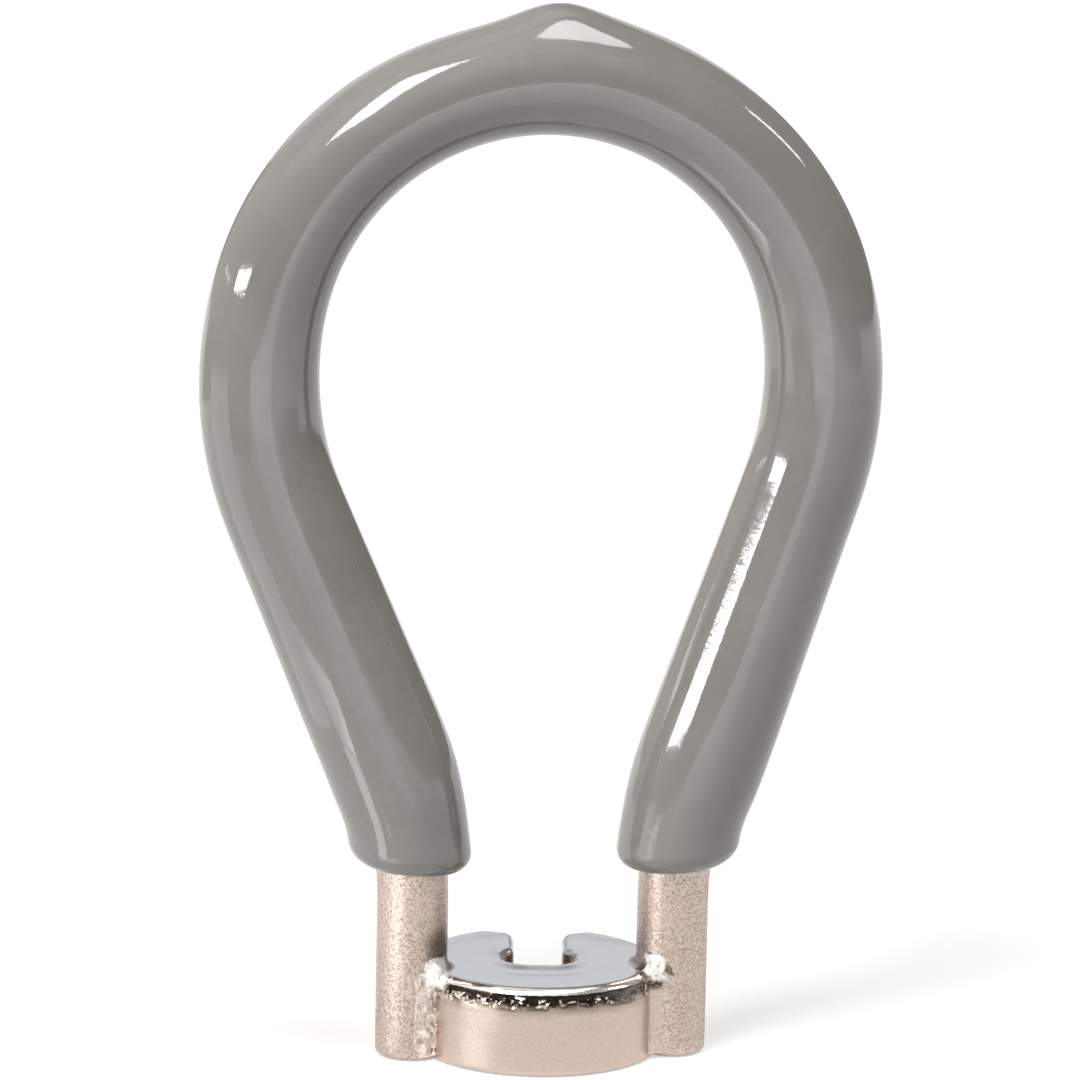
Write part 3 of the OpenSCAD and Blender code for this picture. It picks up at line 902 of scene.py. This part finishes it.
def add_floor():
    """White sheet under the wrench that keeps its shadow."""
    half = FLOOR_HALF
    corners = [(-half, -half, 0), (half, -half, 0), (half, half, 0), (-half, half, 0)]
    floor, tree, shader = new_sheet("floor", corners, [(0, 1, 2, 3)], "white_floor",
                                    (0.58, 0.575, 0.57), 0.15, WHITE)
    shader.inputs["Roughness"].default_value = 0.3
    # Away from the lamps' reach the sheet is kept as white as it is round the wrench
    place = tree.nodes.new("ShaderNodeTexCoord")
    length = tree.nodes.new("ShaderNodeVectorMath")
    length.operation = "LENGTH"
    tree.links.new(place.outputs["Object"], length.inputs[0])
    far = tree.nodes.new("ShaderNodeMapRange")
    tree.links.new(length.outputs["Value"], far.inputs["Value"])
    for key, value in (("From Min", 0.08), ("From Max", 0.6), ("To Min", 0.5), ("To Max", 1.0)):
        far.inputs[key].default_value = value
    glow = tree.nodes.new("ShaderNodeMath")
    glow.operation = "MULTIPLY"
    tree.links.new(sees_background(tree), glow.inputs[0])
    tree.links.new(far.outputs["Result"], glow.inputs[1])
    tree.links.new(glow.outputs[0], shader.inputs["Emission Strength"])


def add_glow(name, points, faces, levels, color=WHITE):
    """A sheet with its own level at each point, which only shows in reflections."""
    sheet, tree, shader = new_sheet(name, points, faces, name, (0, 0, 0), 0.0, color)
    sheet.data.attributes.new("level", "FLOAT", "POINT").data.foreach_set("value", levels)
    read = tree.nodes.new("ShaderNodeAttribute")
    read.attribute_name = "level"
    tree.links.new(read.outputs["Fac"], shader.inputs["Emission Strength"])
    sheet.visible_camera = False
    sheet.visible_diffuse = False
    sheet.visible_shadow = False
    sheet.visible_transmission = False


def add_card(name, corners, levels):
    """Card lying on the table."""
    add_glow(name, [(x, y, CARD_LIFT) for x, y in corners], [(0, 1, 2, 3)], levels)


def add_apron():
    """Grey sheet on the table that begins far away in front and close by on the left."""
    azimuths = np.linspace(-135, 70, 83)
    inner = (0.20 - 0.08 * smooth_step(azimuths, -90, -72)
             + 0.265 * smooth_step(azimuths, -40, -12))
    count = len(azimuths)
    points = [(r * math.sin(math.radians(a)), -r * math.cos(math.radians(a)), APRON_LIFT)
              for edge in (inner, [ROOM_R] * count) for r, a in zip(edge, azimuths)]
    faces = [(i, i + 1, count + i + 1, count + i) for i in range(count - 1)]
    add_glow("apron", points, faces, [APRON_LEVEL] * (2 * count))


def add_shell(name, azimuths, heights, levels):
    """Part of the room: a grid of directions, with rows of heights in degrees."""
    rows, columns = heights.shape
    points = [tuple(direction(a, h) * ROOM_R) for row in heights for a, h in zip(azimuths, row)]
    faces = [(r * columns + c, r * columns + c + 1, (r + 1) * columns + c + 1, (r + 1) * columns + c)
             for r in range(rows - 1) for c in range(columns - 1)]
    add_glow(name, points, faces, levels.ravel(), ROOM_COLOR)


def add_walls():
    """The room: a wall in front and to the right that is dark at its foot and has a dark ceiling
    on the right, a low wall to the left, a dim strip behind and a grey ceiling above that."""
    azimuths = np.linspace(-180, 180, 180)

    def between(start, full, fade, stop):
        return smooth_step(azimuths, start, full) * (1 - smooth_step(azimuths, fade, stop))

    front, left = between(-20, -6, 95, 125), between(-165, -140, -14, -4)
    right_back, right = between(95, 115, 140, 158), between(22, 45, 110, 140)
    tops = (STRIP_TOP + (WALL_TOP - STRIP_TOP) * (front + right_back)
            + (LEFT_WALL_TOP - STRIP_TOP) * left)
    tops = np.maximum(tops + (CEILING_TOP - WALL_TOP) * right, STRIP_TOP)
    low = 0.30 + 0.06 * front + 0.45 * smooth_step(-azimuths, 60, 110) * left
    high = np.maximum(low, 0.75 * left + (1.0 - 0.6 * smooth_step(azimuths, 10, 45)) * front)
    rows = np.linspace(0, 1, 32)[:, None]
    heights = WALL_FOOT + (tops - WALL_FOOT) * rows
    levels = low + (high - low) * smooth_step(heights, 14, 40)
    levels += (np.maximum(levels, 0.55) - levels) * (1 - smooth_step(heights, 2, 7)) * left
    levels += (0.15 - levels) * smooth_step(heights, WALL_TOP - 1, WALL_TOP + 2) * right
    add_shell("walls", azimuths, heights, levels)
    behind = np.linspace(100, 262, 82)
    heights = np.repeat(33 + 39 * rows[::4], len(behind), axis=1)
    levels = np.tile(0.25 + 0.35 * smooth_step(behind, 165, 195), (len(heights), 1))
    add_shell("ceiling", behind, heights, levels)


# All together
coat_piece(grip_vinyl())
wire_piece(wire_nickel())
head_piece(head_nickel())
braze_piece(-1, "braze_fillet_left", "braze_left", braze_metal(-1))
braze_piece(1, "braze_fillet_right", "braze_right", braze_metal(1))

add_camera()
add_world(0.08)
add_floor()
for card in CARDS:
    add_card(*card)
add_apron()
add_walls()
add_lamp("softbox_front_left", -41.5, 51, 18, 26, 15.0)
add_lamp("softbox_left", -67, 9.3, 26, 3.8, 26.0, roll=-4)
add_lamp("softbox_top", 40, 73.5, 29, 25, 5.8, rounded=True)
add_lamp("strip_right", 88, 35.5, 3.5, 15, 13.0, roll=31)
add_lamp("strip_left", -107, 9.5, 24, 1.0, 3.5)

bpy.context.scene.view_settings.view_transform = "Standard"
